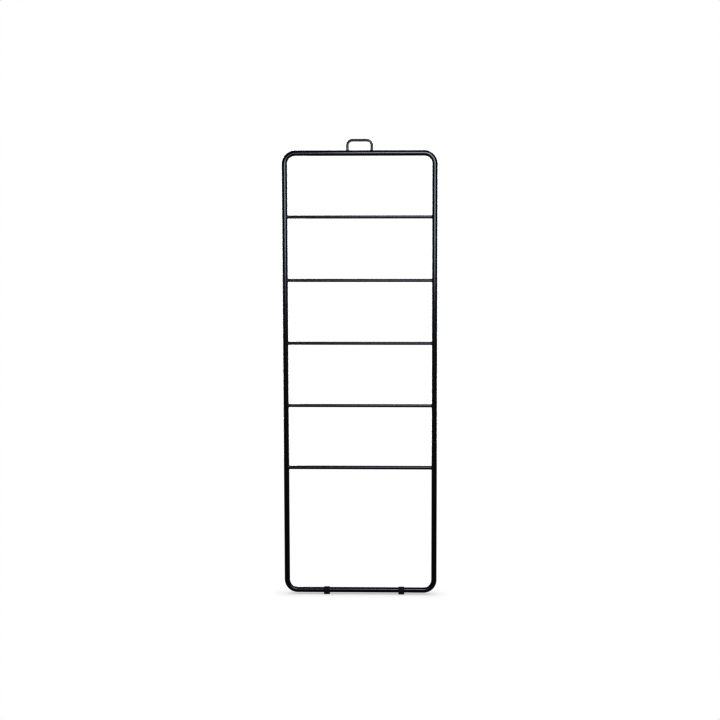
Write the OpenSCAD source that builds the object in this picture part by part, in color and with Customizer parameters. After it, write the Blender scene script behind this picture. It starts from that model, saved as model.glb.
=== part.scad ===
// Towel ladder: a closed frame of bent round tube with welded rungs, a hanging loop
// on its top rail, and two rubber feet that slide along its bottom rail.
// Millimetres. +X is the viewer's right, +Y points at the wall and +Z is up.
// The origin is on the floor, under the middle of the frame.

/* [Frame] */
// Width over the outside of the two uprights
frame_w = 550; // [500:10:650]
// Distance from one bar to the next, centre to centre
bar_pitch = 225; // [180:5:240]
// Outside diameter of the frame tube
tube_d = 18; // [17:1:22]
// Wall thickness of the frame tube
tube_wall = 1.5; // [1:0.1:2]
// Radius of the corner bends, to the middle of the tube
bend_r = 38; // [36:1:60]

/* [Rungs] */
// Number of rungs, an odd one, so that the joints in the uprights fall between two of them
rung_count = 5; // [3:2:7]
// Diameter of the rungs
rung_d = 10; // [8:1:12]
// Diameter of the lowest rung, which is stouter than the others
low_rung_d = 12; // [8:1:12]

/* [Hanging loop] */
// Diameter of the loop's rod
loop_rod_d = 8; // [6:1:10]
// Width over the outside of the loop
loop_w = 94; // [70:2:140]
// Height of the loop above the top rail
loop_h = 40; // [32:1:60]
// Radius of the loop's bends, to the middle of the rod
loop_bend_r = 18; // [12:1:24]

/* [Feet] */
// Length of a foot along the bottom rail
foot_len = 20; // [16:1:30]
// Rubber in front of, behind and above the rail
foot_wall = 2.5; // [2:0.5:5]
// Rubber between the rail and the floor
foot_sole = 5; // [4:0.5:12]
// Middle of the left foot, from the middle of the frame
left_foot_x = -122; // [-160:1:-20]
// Middle of the right foot, from the middle of the frame
right_foot_x = 148; // [20:1:160]

/* [Hidden] */
$fn = 64;

LEFT = -1;
RIGHT = 1;

coat_black = [0.055, 0.057, 0.065];
rubber_black = [0.03, 0.03, 0.032];
bare_steel = [0.62, 0.62, 0.6];

tube_r = tube_d / 2;
bore_r = tube_r - tube_wall;
loop_rod_r = loop_rod_d / 2;
loop_x = loop_w / 2 - loop_rod_r;
upright_x = (frame_w - tube_d) / 2;

// The gap under the lowest rung is two pitches high, so the frame is two pitches taller
// than its rungs number. Heights are those of the bars' centre lines.
half_h = (rung_count + 2) * bar_pitch / 2;
bottom_z = foot_sole + tube_r;
middle_z = bottom_z + half_h;
top_z = middle_z + half_h;

// The frame's two halves meet half-way up the uprights, over a sleeve inside the tube.
butt_gap = 2;
sleeve_len = 60;
sleeve_wall = 1.2;
sleeve_play = 0.05;

// The weld fillets around the ends of the rungs and of the loop: their leg, and how thick
// they are at their outer edge.
fillet = 2;
fillet_toe = 0.3;

// The feet are a running fit on the rail, and are slit at the back to spring over it.
foot_play = 0.05;
foot_corner_r = 3;
foot_slit = 1.2;

// How far a cutting solid runs past the faces that it cuts.
past = 1;

function rung_z(i) = top_z - i * bar_pitch;
function rung_r(i) = (i == rung_count ? low_rung_d : rung_d) / 2;

module along_x(length, r) {
    rotate([0, 90, 0]) cylinder(h = length, r = r, center = true);
}

// A rail along X at z = 0, and at each end a bend and a straight leg up to z = leg_top.
module u_bend(r, half_w, radius, leg_top) {
    along_x(2 * (half_w - radius), r);
    for (flip = [0, 1])
        mirror([flip, 0, 0]) translate([half_w - radius, 0, radius]) {
            rotate([90, 0, 0]) rotate([0, 0, -90])
                rotate_extrude(angle = 90) translate([radius, 0]) circle(r = r);
            translate([radius, 0, 0]) cylinder(h = leg_top - radius, r = r);
        }
}

// Half of the frame, open end up: its legs stop half a weld short of the joint.
module half_frame() {
    leg_top = half_h - butt_gap / 2;
    color(coat_black) difference() {
        u_bend(tube_r, upright_x, bend_r, leg_top);
        u_bend(bore_r, upright_x, bend_r, leg_top + past);
    }
}

module lower_frame_tube() {
    translate([0, 0, bottom_z]) half_frame();
}

module upper_frame_tube() {
    translate([0, 0, top_z]) mirror([0, 0, 1]) half_frame();
}

// A ring on one upright's axis, centred on the joint.
module joint_ring(side, height, outer_r, inner_r) {
    translate([side * upright_x, 0, middle_z]) difference() {
        cylinder(h = height, r = outer_r, center = true);
        cylinder(h = height + 2 * past, r = inner_r, center = true);
    }
}

module joint_sleeve(side) {
    outer_r = bore_r - sleeve_play;
    color(bare_steel) joint_ring(side, sleeve_len, outer_r, outer_r - sleeve_wall);
}

module butt_weld(side) {
    color(coat_black) joint_ring(side, butt_gap, tube_r, bore_r);
}

module rung(i) {
    color(coat_black) translate([0, 0, rung_z(i)]) along_x(2 * upright_x - tube_d, rung_r(i));
}

// A fillet around a rod along +Z whose end stands on a frame tube, which lies along X at z = 0.
module weld_fillet(rod_r) {
    toe_r = rod_r + fillet;
    root_z = sqrt(tube_r * tube_r - toe_r * toe_r) - fillet_toe;
    difference() {
        rotate_extrude() polygon([
            [rod_r, root_z],
            [toe_r, root_z],
            [toe_r, tube_r + fillet_toe],
            [rod_r, tube_r + fillet]
        ]);
        along_x(2 * tube_d, tube_r);
    }
}

module rung_welds(i) {
    color(coat_black) translate([0, 0, rung_z(i)]) for (side = [LEFT, RIGHT])
        translate([side * upright_x, 0, 0]) rotate([0, -side * 90, 0]) weld_fillet(rung_r(i));
}

module hanging_loop() {
    leg_top = loop_h - loop_rod_r;
    color(coat_black) translate([0, 0, top_z + tube_r + leg_top]) mirror([0, 0, 1])
        u_bend(loop_rod_r, loop_x, loop_bend_r, leg_top);
}

module hanging_loop_welds() {
    color(coat_black) for (side = [LEFT, RIGHT])
        translate([side * loop_x, 0, top_z]) weld_fillet(loop_rod_r);
}

// Section of a foot across the rail, about the rail's axis: round above, and square below
// with rounded lower corners.
module foot_section() {
    half_w = tube_r + foot_wall;
    corner_x = half_w - foot_corner_r;
    corner_y = foot_corner_r - bottom_z;
    difference() {
        union() {
            circle(r = half_w);
            translate([-half_w, corner_y]) square([2 * half_w, -corner_y]);
            translate([-corner_x, -bottom_z]) square([2 * corner_x, bottom_z]);
            for (side = [LEFT, RIGHT])
                translate([side * corner_x, corner_y]) circle(r = foot_corner_r);
        }
        circle(r = tube_r + foot_play);
        translate([0, -foot_slit / 2]) square([half_w + past, foot_slit]);
    }
}

module foot(x) {
    color(rubber_black) translate([x, 0, bottom_z]) rotate([90, 0, 90])
        linear_extrude(height = foot_len, center = true) foot_section();
}

upper_frame_tube();
lower_frame_tube();
joint_sleeve(LEFT);  // left_joint_sleeve
joint_sleeve(RIGHT);  // right_joint_sleeve
butt_weld(LEFT);  // left_butt_weld
butt_weld(RIGHT);  // right_butt_weld
for (i = [1 : rung_count]) {
    rung(i);
    rung_welds(i);
}
hanging_loop();
hanging_loop_welds();
foot(left_foot_x);  // left_foot
foot(right_foot_x);  // right_foot
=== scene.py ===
import math
import random

import bmesh
import bpy
from mathutils import Matrix, Vector


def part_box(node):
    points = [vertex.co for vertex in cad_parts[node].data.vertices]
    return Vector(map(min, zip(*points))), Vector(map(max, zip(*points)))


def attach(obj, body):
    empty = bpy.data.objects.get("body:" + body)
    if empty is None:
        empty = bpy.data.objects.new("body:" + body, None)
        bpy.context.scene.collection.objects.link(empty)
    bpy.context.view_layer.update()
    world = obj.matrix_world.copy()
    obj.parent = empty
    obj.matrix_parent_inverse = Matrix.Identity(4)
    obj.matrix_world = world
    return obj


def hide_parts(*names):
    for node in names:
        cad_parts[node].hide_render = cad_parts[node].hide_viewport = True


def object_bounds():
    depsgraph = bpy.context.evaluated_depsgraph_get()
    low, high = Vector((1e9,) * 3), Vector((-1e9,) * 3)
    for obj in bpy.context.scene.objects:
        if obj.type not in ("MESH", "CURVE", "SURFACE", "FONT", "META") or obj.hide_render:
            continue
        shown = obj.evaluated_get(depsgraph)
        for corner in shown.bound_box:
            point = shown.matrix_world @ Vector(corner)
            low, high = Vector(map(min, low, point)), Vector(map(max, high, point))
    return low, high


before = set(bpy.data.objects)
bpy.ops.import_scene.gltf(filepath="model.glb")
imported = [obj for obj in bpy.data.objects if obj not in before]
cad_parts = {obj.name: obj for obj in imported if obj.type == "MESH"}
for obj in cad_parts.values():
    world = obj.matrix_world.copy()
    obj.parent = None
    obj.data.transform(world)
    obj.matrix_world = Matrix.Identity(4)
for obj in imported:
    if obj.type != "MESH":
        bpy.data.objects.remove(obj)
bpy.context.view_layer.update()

LADDER = "ladder_frame"
RUNGS = 5
LEFT = -1
RIGHT = 1
X_AXIS = Vector((1, 0, 0))
Y_AXIS = Vector((0, 1, 0))
Z_AXIS = Vector((0, 0, 1))
WELD_SEED = 7

# Sizes that a node's box doesn't give.
TUBE_WALL = 0.0015
BEND_R = 0.038
LOOP_BEND_R = 0.018
ROD_CHAMFER = 0.0004

# The fillet welds. Their hidden faces sink a little into the rod and the tube, their toe and top
# are cut down by a share at the tube's sides, and a few waves around the rod make them uneven.
FILLET_LEG = 0.0019
FILLET_SINK = 0.00006
FILLET_CROWN = 0.00012
SIDE_TOE_CUT = 0.3
SIDE_TOP_CUT = 0.15
FILLET_WAVES = (2, 3, 5)
FILLET_UNEVEN = (0.01, 0.035)

# Their ripples, bowed into crescents: RIPPLE_BOW is in radians of the ripple's own wave.
RIPPLE_PITCH = 0.0012
RIPPLE_H = 0.00002
RIPPLE_BOW = 2

# The ground welds, uneven by a share of their height.
GROUND_H = 0.00005
GROUND_WAVES = (3, 7, 11)
GROUND_UNEVEN = 0.4

# The feet. What faces down further than SOLE_FACING is the sole, which has no parting ridge.
FOOT_PLAY = 0.00005
FOOT_SLIT = 0.0012
FOOT_CORNER_R = 0.003
FOOT_EDGE_R = 0.0008
BORE_EDGE_R = 0.0003
RIDGE_H = 0.00012
RIDGE_HALF_W = 0.00025
SOLE_FACING = -0.45

# Fineness of the meshes. A row EDGE_GUARD away from a rounded edge keeps a foot's side flat.
TUBE_SIDES = 64
ROD_SIDES = 48
BEND_STEPS = 28
STRAIGHT_STEP = 0.04
RIPPLE_STEPS = 8
FILLET_STEPS = 12
GROUND_STEPS = 6
FOOT_TOP_STEPS = 60
FOOT_SIDE_STEPS = 10
FOOT_CORNER_STEPS = 12
FOOT_SOLE_STEPS = 16
EDGE_STEPS = 4
EDGE_GUARD = 0.0004


# ---------------------------------------------------------------- measures from the frame

def centre_and_half(node):
    """Middle of a node's box and half its size."""
    low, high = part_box(node)
    return (low + high) / 2, (high - low) / 2


lower_low, lower_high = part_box("lower_frame_tube")
tube_r = (lower_high.y - lower_low.y) / 2
upright_x = lower_high.x - tube_r
bottom_z = lower_low.z + tube_r
top_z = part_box("upper_frame_tube")[1].z - tube_r


# ---------------------------------------------------------------- meshes

def loft(rings, closed=False):
    """Vertices and faces of a surface through rings of equally many points: closed on itself, or capped."""
    sides = len(rings[0])
    points = [p for ring in rings for p in ring]
    faces = []
    for i in range(len(rings) if closed else len(rings) - 1):
        a = i * sides
        b = (i + 1) % len(rings) * sides
        for k in range(sides):
            n = (k + 1) % sides
            faces.append((a + k, a + n, b + n, b + k))
    if not closed:
        faces.append(tuple(range(sides)))
        faces.append(tuple(range(len(points) - 1, len(points) - 1 - sides, -1)))
    return points, faces


def joined(*shapes):
    """Several lofts as one shape."""
    points, faces = [], []
    for more_points, more_faces in shapes:
        shift = len(points)
        points += more_points
        faces += [tuple(v + shift for v in face) for face in more_faces]
    return points, faces


def circle(centre, side, up, r, sides):
    """Points of a circle around centre, in the plane of the unit vectors side and up."""
    turns = [2 * math.pi * k / sides for k in range(sides)]
    return [centre + r * (math.cos(t) * side + math.sin(t) * up) for t in turns]


def piece(name, shape, material, body, slot, *nodes, crease=32):
    """A shown piece from a loft's shape, smooth except at edges sharper than crease degrees."""
    points, faces = shape
    mesh = bpy.data.meshes.new(name)
    mesh.from_pydata(points, [], faces)
    bm = bmesh.new()
    bm.from_mesh(mesh)
    bmesh.ops.recalc_face_normals(bm, faces=bm.faces)
    bm.to_mesh(mesh)
    bm.free()
    mesh.shade_smooth()
    mesh.set_sharp_from_angle(angle=math.radians(crease))
    mesh.materials.append(material)
    obj = bpy.data.objects.new(name, mesh)
    bpy.context.scene.collection.objects.link(obj)
    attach(obj, body)
    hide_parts(*nodes)


# ---------------------------------------------------------------- tubes and rods

def spaced(start, end):
    """Values from start to end, both included, about STRAIGHT_STEP apart."""
    steps = max(1, round(abs(end - start) / STRAIGHT_STEP))
    return [start + (end - start) * i / steps for i in range(steps + 1)]


def u_path(half_w, radius, leg_top):
    """A U in the XZ plane, from its left leg's top to its right leg's, with the rail at z = 0.
    Gives (point, outward unit vector) pairs."""
    bend = [math.pi / 2 * i / BEND_STEPS for i in range(1, BEND_STEPS)]
    path = [(Vector((-half_w, 0, z)), -X_AXIS) for z in spaced(leg_top, radius)]
    for turn in bend:
        out = Vector((-math.cos(turn), 0, -math.sin(turn)))
        path.append((Vector((radius - half_w, 0, radius)) + radius * out, out))
    for x in spaced(radius - half_w, half_w - radius):
        path.append((Vector((x, 0, 0)), -Z_AXIS))
    for turn in bend:
        out = Vector((math.sin(turn), 0, -math.cos(turn)))
        path.append((Vector((half_w - radius, 0, radius)) + radius * out, out))
    path += [(Vector((half_w, 0, z)), X_AXIS) for z in spaced(radius, leg_top)]
    return path


def placed(path, z, flipped):
    """The path with its rail at height z, upside down if flipped."""
    turn = -1 if flipped else 1
    return [(Vector((p.x, 0, z + turn * p.z)), Vector((o.x, 0, turn * o.z))) for p, o in path]


def tube_along(path, outer_r, inner_r):
    """A hollow tube: out along its outside, back along its bore, with ring-shaped ends."""
    outside = [circle(p, out, Y_AXIS, outer_r, TUBE_SIDES) for p, out in path]
    bore = [circle(p, out, Y_AXIS, inner_r, TUBE_SIDES) for p, out in reversed(path)]
    return loft(outside + bore, closed=True)


def rod_along(path, r):
    """A solid rod with a small chamfer around each end."""
    first, first_out = path[0]
    last, last_out = path[-1]
    into = (path[1][0] - first).normalized()
    back = (path[-2][0] - last).normalized()
    rings = [circle(first, first_out, Y_AXIS, r - ROD_CHAMFER, ROD_SIDES)]
    rings.append(circle(first + ROD_CHAMFER * into, first_out, Y_AXIS, r, ROD_SIDES))
    rings += [circle(p, out, Y_AXIS, r, ROD_SIDES) for p, out in path[1:-1]]
    rings.append(circle(last + ROD_CHAMFER * back, last_out, Y_AXIS, r, ROD_SIDES))
    rings.append(circle(last, last_out, Y_AXIS, r - ROD_CHAMFER, ROD_SIDES))
    return loft(rings)


# ---------------------------------------------------------------- welds

def tube_surface(reach, turn):
    """Height of the tube's surface above its axis, reach away from a rod's axis in the direction turn."""
    return math.sqrt(tube_r ** 2 - (reach * math.sin(turn)) ** 2)


def fillet_section(rod_r, leg, turn, ripple_turn):
    """A bead's section in the direction turn, as (distance from the rod's axis, height above the
    tube's axis): up the rod, down the face in FILLET_STEPS, and back under the toe."""
    side = math.sin(turn) ** 2
    toe = rod_r + leg * (1 - SIDE_TOE_CUT * side)
    top = tube_r + leg * (1 - SIDE_TOP_CUT * side)
    toe_h = tube_surface(toe, turn)
    middle = (rod_r + toe) / 2
    section = [(rod_r - FILLET_SINK, tube_surface(rod_r, turn) - FILLET_SINK), (rod_r - FILLET_SINK, top)]
    for j in range(1, FILLET_STEPS):
        t = j / FILLET_STEPS
        bulge = math.sin(math.pi * t)
        proud = bulge * (FILLET_CROWN + RIPPLE_H * math.cos(ripple_turn + RIPPLE_BOW * bulge))
        section.append((rod_r + (toe - rod_r) * t + proud, top + (toe_h - top) * t + proud))
    section += [(toe, toe_h), (toe, toe_h - FILLET_SINK)]
    section.append((middle, tube_surface(middle, turn) - FILLET_SINK))
    return section


def fillet_ring(foot_point, along_rod, along_tube, rod_r, rng):
    """A rippled weld bead around a rod, where it stands on the tube.
    foot_point is where the rod's axis meets the tube's axis."""
    across = along_rod.cross(along_tube)
    ripples = round(2 * math.pi * (rod_r + FILLET_LEG / 2) / RIPPLE_PITCH)
    steps = ripples * RIPPLE_STEPS
    start = rng.uniform(0, 2 * math.pi)
    waves = [(n, rng.uniform(*FILLET_UNEVEN), rng.uniform(0, 2 * math.pi)) for n in FILLET_WAVES]
    rings = []
    for i in range(steps):
        turn = 2 * math.pi * i / steps
        leg = FILLET_LEG * (1 + sum(size * math.sin(n * turn + phase) for n, size, phase in waves))
        section = fillet_section(rod_r, leg, turn, (turn - start) * ripples)
        radial = math.cos(turn) * along_tube + math.sin(turn) * across
        rings.append([foot_point + radial * r + along_rod * h for r, h in section])
    return loft(rings, closed=True)


def ground_ring(node, rng):
    """The ground weld that closes the frame: flush at its edges, and hardly proud between."""
    middle, half = centre_and_half(node)
    heights = [-half.z + 2 * half.z * i / GROUND_STEPS for i in range(GROUND_STEPS + 1)]
    waves = [(n, rng.uniform(0, 2 * math.pi)) for n in GROUND_WAVES]

    def ring(z, r, proud):
        points = []
        for k in range(TUBE_SIDES):
            turn = 2 * math.pi * k / TUBE_SIDES
            uneven = sum(math.sin(n * turn + phase) for n, phase in waves) / len(waves)
            reach = r + proud * (1 - GROUND_UNEVEN + GROUND_UNEVEN * uneven)
            x = middle.x + reach * math.cos(turn)
            points.append(Vector((x, reach * math.sin(turn), middle.z + z)))
        return points

    outside = [ring(z, tube_r, GROUND_H * (1 - (z / half.z) ** 2)) for z in heights]
    bore = [ring(z, tube_r - TUBE_WALL, 0) for z in reversed(heights)]
    return loft(outside + bore, closed=True)


# ---------------------------------------------------------------- feet

def foot_outline(half_w, floor_z):
    """The foot's outline across the rail as (y, z, outward y, outward z) about the rail's axis, from
    the slit's upper lip over the top and round the sole to the slit's lower lip."""
    corner_y = half_w - FOOT_CORNER_R
    corner_z = floor_z + FOOT_CORNER_R
    lip = FOOT_SLIT / 2
    outline = []

    def add_arc(y, z, r, start, end, steps):
        """Points round an arc about (y, z), ends included."""
        for i in range(steps + 1):
            turn = start + (end - start) * i / steps
            out_y, out_z = math.cos(turn), math.sin(turn)
            outline.append((y + r * out_y, z + r * out_z, out_y, out_z))

    add_arc(0, 0, half_w, math.asin(lip / half_w), math.pi, FOOT_TOP_STEPS)
    for i in range(1, FOOT_SIDE_STEPS):
        outline.append((-half_w, corner_z * i / FOOT_SIDE_STEPS, -1, 0))
    add_arc(-corner_y, corner_z, FOOT_CORNER_R, math.pi, 1.5 * math.pi, FOOT_CORNER_STEPS)
    for i in range(1, FOOT_SOLE_STEPS):
        outline.append((-corner_y + 2 * corner_y * i / FOOT_SOLE_STEPS, floor_z, 0, -1))
    add_arc(corner_y, corner_z, FOOT_CORNER_R, 1.5 * math.pi, 2 * math.pi, FOOT_CORNER_STEPS)
    for i in range(1, FOOT_SIDE_STEPS + 1):
        outline.append((half_w, corner_z - (lip + corner_z) * i / FOOT_SIDE_STEPS, 1, 0))
    return outline


def edge_round(r):
    """A rounded edge of radius r as (distance from the foot's end, inset), from its side to its end."""
    turns = [math.pi / 2 * i / EDGE_STEPS for i in range(EDGE_STEPS + 1)]
    return [(r * (1 - math.sin(turn)), r * (1 - math.cos(turn))) for turn in turns]


def foot_rows(half_length):
    """The foot's rows along the rail as (x, inset): the outside from left to right, with the parting
    ridge as a negative inset, and the bore from right to left."""
    edge = edge_round(FOOT_EDGE_R)
    bore_edge = edge_round(BORE_EDGE_R)
    guard = half_length - FOOT_EDGE_R - EDGE_GUARD
    outside = [(d - half_length, inset) for d, inset in reversed(edge)]
    outside += [(x, 0) for x in (-guard, -2 * RIDGE_HALF_W, -RIDGE_HALF_W)]
    outside.append((0, -RIDGE_H))
    outside += [(x, 0) for x in (RIDGE_HALF_W, 2 * RIDGE_HALF_W, guard)]
    outside += [(half_length - d, inset) for d, inset in edge]
    bore = [(half_length - d, inset) for d, inset in reversed(bore_edge)]
    bore += [(d - half_length, inset) for d, inset in bore_edge]
    return outside, bore


def foot_shape(node):
    """A moulded rubber foot: edges rounded, and a fine parting ridge around all but its sole."""
    middle, half = centre_and_half(node)
    outside, bore = foot_rows(half.x)
    rings = []
    for y, z, out_y, out_z in foot_outline(half.y, middle.z - half.z - bottom_z):
        from_axis = math.hypot(y, z)
        on_sole = out_z < SOLE_FACING
        ring = []
        for x, inset in outside:
            if on_sole:
                inset = max(inset, 0)
            ring.append(Vector((middle.x + x, y - inset * out_y, bottom_z + z - inset * out_z)))
        for x, inset in bore:
            r = tube_r + FOOT_PLAY + inset
            ring.append(Vector((middle.x + x, r * y / from_axis, bottom_z + r * z / from_axis)))
        rings.append(ring)
    return loft(rings)


# ---------------------------------------------------------------- materials

class Nodes:
    """A short way to write a material's nodes."""

    def __init__(self, name):
        self.material = bpy.data.materials.new(name)
        self.material.use_nodes = True
        self.tree = self.material.node_tree
        self.shader = self.tree.nodes["Principled BSDF"]
        self.place = self.add("ShaderNodeTexCoord").outputs["Object"]

    def add(self, kind, **settings):
        node = self.tree.nodes.new(kind)
        for key, value in settings.items():
            setattr(node, key, value)
        return node

    def link(self, out, into):
        self.tree.links.new(out, into)

    def noise(self, scale, detail, stretch=(1, 1, 1)):
        """Noise in object space, scale features to a metre, drawn out along an axis by stretch."""
        mapping = self.add("ShaderNodeMapping")
        mapping.inputs["Scale"].default_value = stretch
        noise = self.add("ShaderNodeTexNoise")
        noise.inputs["Scale"].default_value = scale
        noise.inputs["Detail"].default_value = detail
        self.link(self.place, mapping.inputs["Vector"])
        self.link(mapping.outputs["Vector"], noise.inputs["Vector"])
        return noise.outputs["Fac"]

    def ranged(self, value, low, high, source=(0.3, 0.7)):
        """The value's source range spread over low to high."""
        node = self.add("ShaderNodeMapRange")
        node.inputs["From Min"].default_value, node.inputs["From Max"].default_value = source
        node.inputs["To Min"].default_value = low
        node.inputs["To Max"].default_value = high
        self.link(value, node.inputs["Value"])
        return node.outputs["Result"]

    def blend(self, fac, first, second):
        """A colour between two, by fac."""
        node = self.add("ShaderNodeMix", data_type="RGBA")
        node.inputs["A"].default_value = (*first, 1)
        node.inputs["B"].default_value = (*second, 1)
        self.link(fac, node.inputs["Factor"])
        return node.outputs["Result"]

    def bump(self, height, depth, below=None):
        """A bump of that depth in metres, on top of another bump if there is one."""
        node = self.add("ShaderNodeBump")
        node.inputs["Strength"].default_value = 1.0
        node.inputs["Distance"].default_value = depth
        self.link(height, node.inputs["Height"])
        if below is not None:
            self.link(below, node.inputs["Normal"])
        return node.outputs["Normal"]


def powder_coat():
    """Satin black powder coat: orange peel, a fine grain, and a gloss that varies a little."""
    m = Nodes("black_powder_coat")
    tone = m.ranged(m.noise(scale=90, detail=3), 0, 1)
    m.link(m.blend(tone, (0.0022, 0.0024, 0.003), (0.0035, 0.0038, 0.0045)),
           m.shader.inputs["Base Color"])
    m.link(m.ranged(m.noise(scale=60, detail=2), 0.195, 0.215), m.shader.inputs["Roughness"])
    peel = m.bump(m.noise(scale=650, detail=1), depth=0.000006)
    grain = m.bump(m.noise(scale=4200, detail=1), depth=0.0000005, below=peel)
    m.link(grain, m.shader.inputs["Normal"])
    m.shader.inputs["IOR"].default_value = 1.5
    return m.material


def rubber():
    """Matt black moulded rubber with a fine spark-eroded grain."""
    m = Nodes("black_rubber")
    tone = m.ranged(m.noise(scale=350, detail=4), 0, 1)
    m.link(m.blend(tone, (0.0045, 0.0045, 0.005), (0.008, 0.008, 0.009)),
           m.shader.inputs["Base Color"])
    m.link(m.ranged(m.noise(scale=400, detail=3), 0.6, 0.7), m.shader.inputs["Roughness"])
    m.link(m.bump(m.noise(scale=2600, detail=3), depth=0.00001), m.shader.inputs["Normal"])
    m.shader.inputs["IOR"].default_value = 1.45
    return m.material


def bare_steel():
    """Drawn steel tube: fine lines along its length and a few dull patches."""
    m = Nodes("bare_steel")
    drawn = m.noise(scale=2500, detail=3, stretch=(1, 1, 0.02))
    patches = m.ranged(m.noise(scale=120, detail=3), 0, 1)
    m.link(m.blend(patches, (0.40, 0.39, 0.37), (0.56, 0.55, 0.53)),
           m.shader.inputs["Base Color"])
    m.link(m.ranged(drawn, 0.28, 0.48), m.shader.inputs["Roughness"])
    m.link(m.bump(drawn, depth=0.00001), m.shader.inputs["Normal"])
    m.shader.inputs["Metallic"].default_value = 1.0
    return m.material


# ---------------------------------------------------------------- camera, light and floor

def set_camera():
    """The reference view: a long lens 6 m away, a little to the ladder's right and just below its
    top rail, turned slightly to the left and down."""
    place = (0.196, -6.042, 1.533)
    turned_left = 1.86
    tipped_down = 6.41
    rolled = 0.127
    camera = bpy.data.objects.new("camera", bpy.data.cameras.new("camera"))
    bpy.context.scene.collection.objects.link(camera)
    camera.data.lens = 85
    camera.data.sensor_width = 36
    camera.data.clip_end = 100
    turn = Matrix.Rotation(math.radians(turned_left), 4, "Z")
    turn @= Matrix.Rotation(math.radians(-tipped_down), 4, "X")
    turn @= Matrix.Rotation(math.radians(rolled), 4, "Y")
    turn @= Matrix.Rotation(math.radians(90), 4, "X")
    camera.matrix_world = Matrix.Translation(place) @ turn
    bpy.context.scene.camera = camera


def softbox(name, low, high, y, radiance, colour):
    """An upright rectangular soft light in the plane y, from low to high (x, z), facing the ladder."""
    width = high[0] - low[0]
    height = high[1] - low[1]
    light = bpy.data.lights.new(name, "AREA")
    light.shape = "RECTANGLE"
    light.size = width
    light.size_y = height
    light.energy = radiance * math.pi * width * height
    light.color = colour
    obj = bpy.data.objects.new(name, light)
    bpy.context.scene.collection.objects.link(obj)
    obj.location = ((low[0] + high[0]) / 2, y, (low[1] + high[1]) / 2)
    obj.rotation_euler = (math.pi / 2, 0, math.pi if y > 0 else 0)
    obj.visible_camera = False


def set_lights():
    """In front, an L of two softboxes whose edges end the highlights, and a faint glow below it.
    Behind, three dimmer softboxes close to the middle, where they hardly light the rims seen in front."""
    front_y, back_y = -2.6, 2.6
    cool, cooler, faintly_cool = (0.95, 0.98, 1.12), (0.9, 1, 1.1), (0.97, 1, 1.06)
    softbox("key", (-0.25, 0.95), (2.2, 4.6), front_y, radiance=12.5, colour=cool)
    softbox("key_low", (-1.3, 0.95), (-0.25, 1.75), front_y, radiance=12, colour=cool)
    softbox("front_glow", (-1.2, 0.0), (1.8, 0.93), front_y, radiance=0.25, colour=cooler)
    softbox("back_left", (-1.2, 0.05), (-0.4, 2.4), back_y, radiance=10, colour=faintly_cool)
    softbox("back_right", (0.4, 0.05), (1.2, 2.4), back_y, radiance=10, colour=faintly_cool)
    softbox("back_top", (-0.4, 1.7), (0.4, 2.4), back_y, radiance=5, colour=faintly_cool)


def camera_only(tree, seen, other):
    """A mix of two shaders: seen for the camera's own rays, and other for every other ray."""
    path = tree.nodes.new("ShaderNodeLightPath")
    mix = tree.nodes.new("ShaderNodeMixShader")
    tree.links.new(path.outputs["Is Camera Ray"], mix.inputs["Fac"])
    tree.links.new(other, mix.inputs[1])
    tree.links.new(seen, mix.inputs[2])
    return mix.outputs["Shader"]


def set_tone():
    """A tone curve of hard contrast."""
    view = bpy.context.scene.view_settings
    view.view_transform = "Standard"
    view.gamma = 0.5


def set_world():
    """White behind the ladder, in an otherwise dark studio."""
    world = bpy.data.worlds.new("studio")
    bpy.context.scene.world = world
    world.use_nodes = True
    tree = world.node_tree
    tree.nodes.clear()
    white = tree.nodes.new("ShaderNodeBackground")
    white.inputs["Color"].default_value = (1, 1, 1, 1)
    dim = tree.nodes.new("ShaderNodeBackground")
    dim.inputs["Color"].default_value = (0.9, 0.95, 1, 1)
    dim.inputs["Strength"].default_value = 0.04
    out = tree.nodes.new("ShaderNodeOutputWorld")
    tree.links.new(camera_only(tree, white.outputs["Background"], dim.outputs["Background"]),
                   out.inputs["Surface"])


def pale_floor():
    """White with a soft painted shadow close to the ladder, and dimmer in the ladder's reflections."""
    contact_reach = 0.06
    # Colour of the painted contact shadow that the floor's white glow darkens to close to the ladder.
    painted_shadow_colour = (0.7, 0.7, 0.71)
    m = Nodes("pale_floor")
    painted_shadow_ao = m.add("ShaderNodeAmbientOcclusion", samples=16)
    painted_shadow_ao.inputs["Distance"].default_value = contact_reach
    lit = m.ranged(painted_shadow_ao.outputs["AO"], 0, 1, source=(0.4, 1.0))
    white = m.add("ShaderNodeEmission")
    # Painted shadow: ambient occlusion blends the glowing white toward the shadow colour near the ladder.
    m.link(m.blend(lit, painted_shadow_colour, (1, 1, 1)), white.inputs["Color"])
    mirrored = m.add("ShaderNodeEmission")
    mirrored.inputs["Strength"].default_value = 0.55
    m.link(camera_only(m.tree, white.outputs["Emission"], mirrored.outputs["Emission"]),
           m.tree.nodes["Material Output"].inputs["Surface"])
    return m.material


def set_floor():
    """A plain round floor, out to where it merges with the white background."""
    radius = 60.0
    sides = 96
    mesh = bpy.data.meshes.new("floor")
    mesh.from_pydata(circle(Vector((0, 0, 0)), X_AXIS, Y_AXIS, radius, sides), [], [tuple(range(sides))])
    mesh.materials.append(pale_floor())
    floor = bpy.data.objects.new("floor", mesh)
    bpy.context.scene.collection.objects.link(floor)
    floor.location.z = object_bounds()[0].z


# ---------------------------------------------------------------- the ladder

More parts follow.
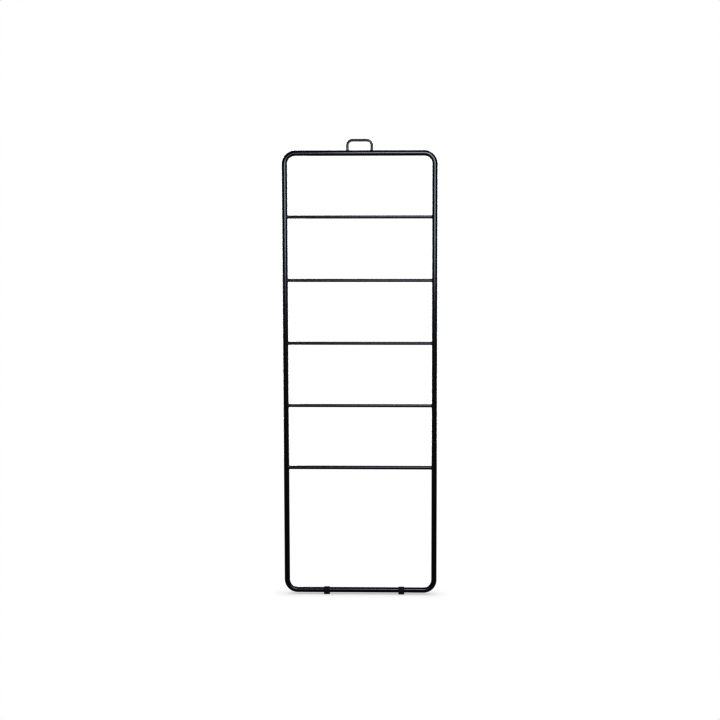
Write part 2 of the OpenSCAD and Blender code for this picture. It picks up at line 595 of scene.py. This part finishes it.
def make_frame(coat, rng):
    """The two U-bends, and the ground welds that join them."""
    half_path = u_path(upright_x, BEND_R, lower_high.z - bottom_z)
    for node, z, flipped in (("lower_frame_tube", bottom_z, False), ("upper_frame_tube", top_z, True)):
        shape = tube_along(placed(half_path, z, flipped), tube_r, tube_r - TUBE_WALL)
        piece(node.replace("frame_tube", "tube"), shape, coat, LADDER, "black_powder_coat", node)
    for side in ("left", "right"):
        piece(side + "_ground_weld", ground_ring(side + "_butt_weld", rng), coat, LADDER,
              "black_powder_coat", side + "_butt_weld")


def make_rungs(coat, rng):
    """Each rung, and the beads at its two ends."""
    for i in range(1, RUNGS + 1):
        middle, half = centre_and_half(f"rung_{i}")
        path = [(Vector((x, 0, middle.z)), Z_AXIS) for x in spaced(-half.x, half.x)]
        piece(f"rung_{i}_bar", rod_along(path, half.z), coat, LADDER, "black_powder_coat", f"rung_{i}")
        beads = [fillet_ring(Vector((side * upright_x, 0, middle.z)), -side * X_AXIS, Z_AXIS,
                             half.z, rng) for side in (LEFT, RIGHT)]
        piece(f"rung_{i}_beads", joined(*beads), coat, LADDER, "black_powder_coat",
              f"rung_{i}_welds", crease=60)


def make_loop(coat, rng):
    """The hanging loop on the top rail, and the beads under its two legs."""
    middle, half = centre_and_half("hanging_loop")
    rod_r = half.y
    loop_x = half.x - rod_r
    path = u_path(loop_x, LOOP_BEND_R, 2 * half.z - rod_r)
    path = placed(path, middle.z + half.z - rod_r, flipped=True)
    piece("loop_rod", rod_along(path, rod_r), coat, LADDER, "black_powder_coat", "hanging_loop")
    beads = [fillet_ring(Vector((side * loop_x, 0, top_z)), Z_AXIS, X_AXIS, rod_r, rng)
             for side in (LEFT, RIGHT)]
    piece("loop_beads", joined(*beads), coat, LADDER, "black_powder_coat",
          "hanging_loop_welds", crease=60)


def finish_sleeves(steel):
    """The sleeves inside the uprights are the CAD's own solids, in bare steel."""
    for node in ("left_joint_sleeve", "right_joint_sleeve"):
        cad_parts[node].data.materials.clear()
        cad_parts[node].data.materials.append(steel)


def make_feet(black):
    """The two rubber feet on the bottom rail."""
    for side in ("left", "right"):
        piece(side + "_rubber_foot", foot_shape(side + "_foot"), black, "foot_" + side,
              "black_rubber", side + "_foot", crease=50)


set_camera()
paint = powder_coat()
weld_rng = random.Random(WELD_SEED)
make_frame(paint, weld_rng)
make_rungs(paint, weld_rng)
make_loop(paint, weld_rng)
finish_sleeves(bare_steel())
make_feet(rubber())
set_floor()
set_tone()
set_world()
set_lights()
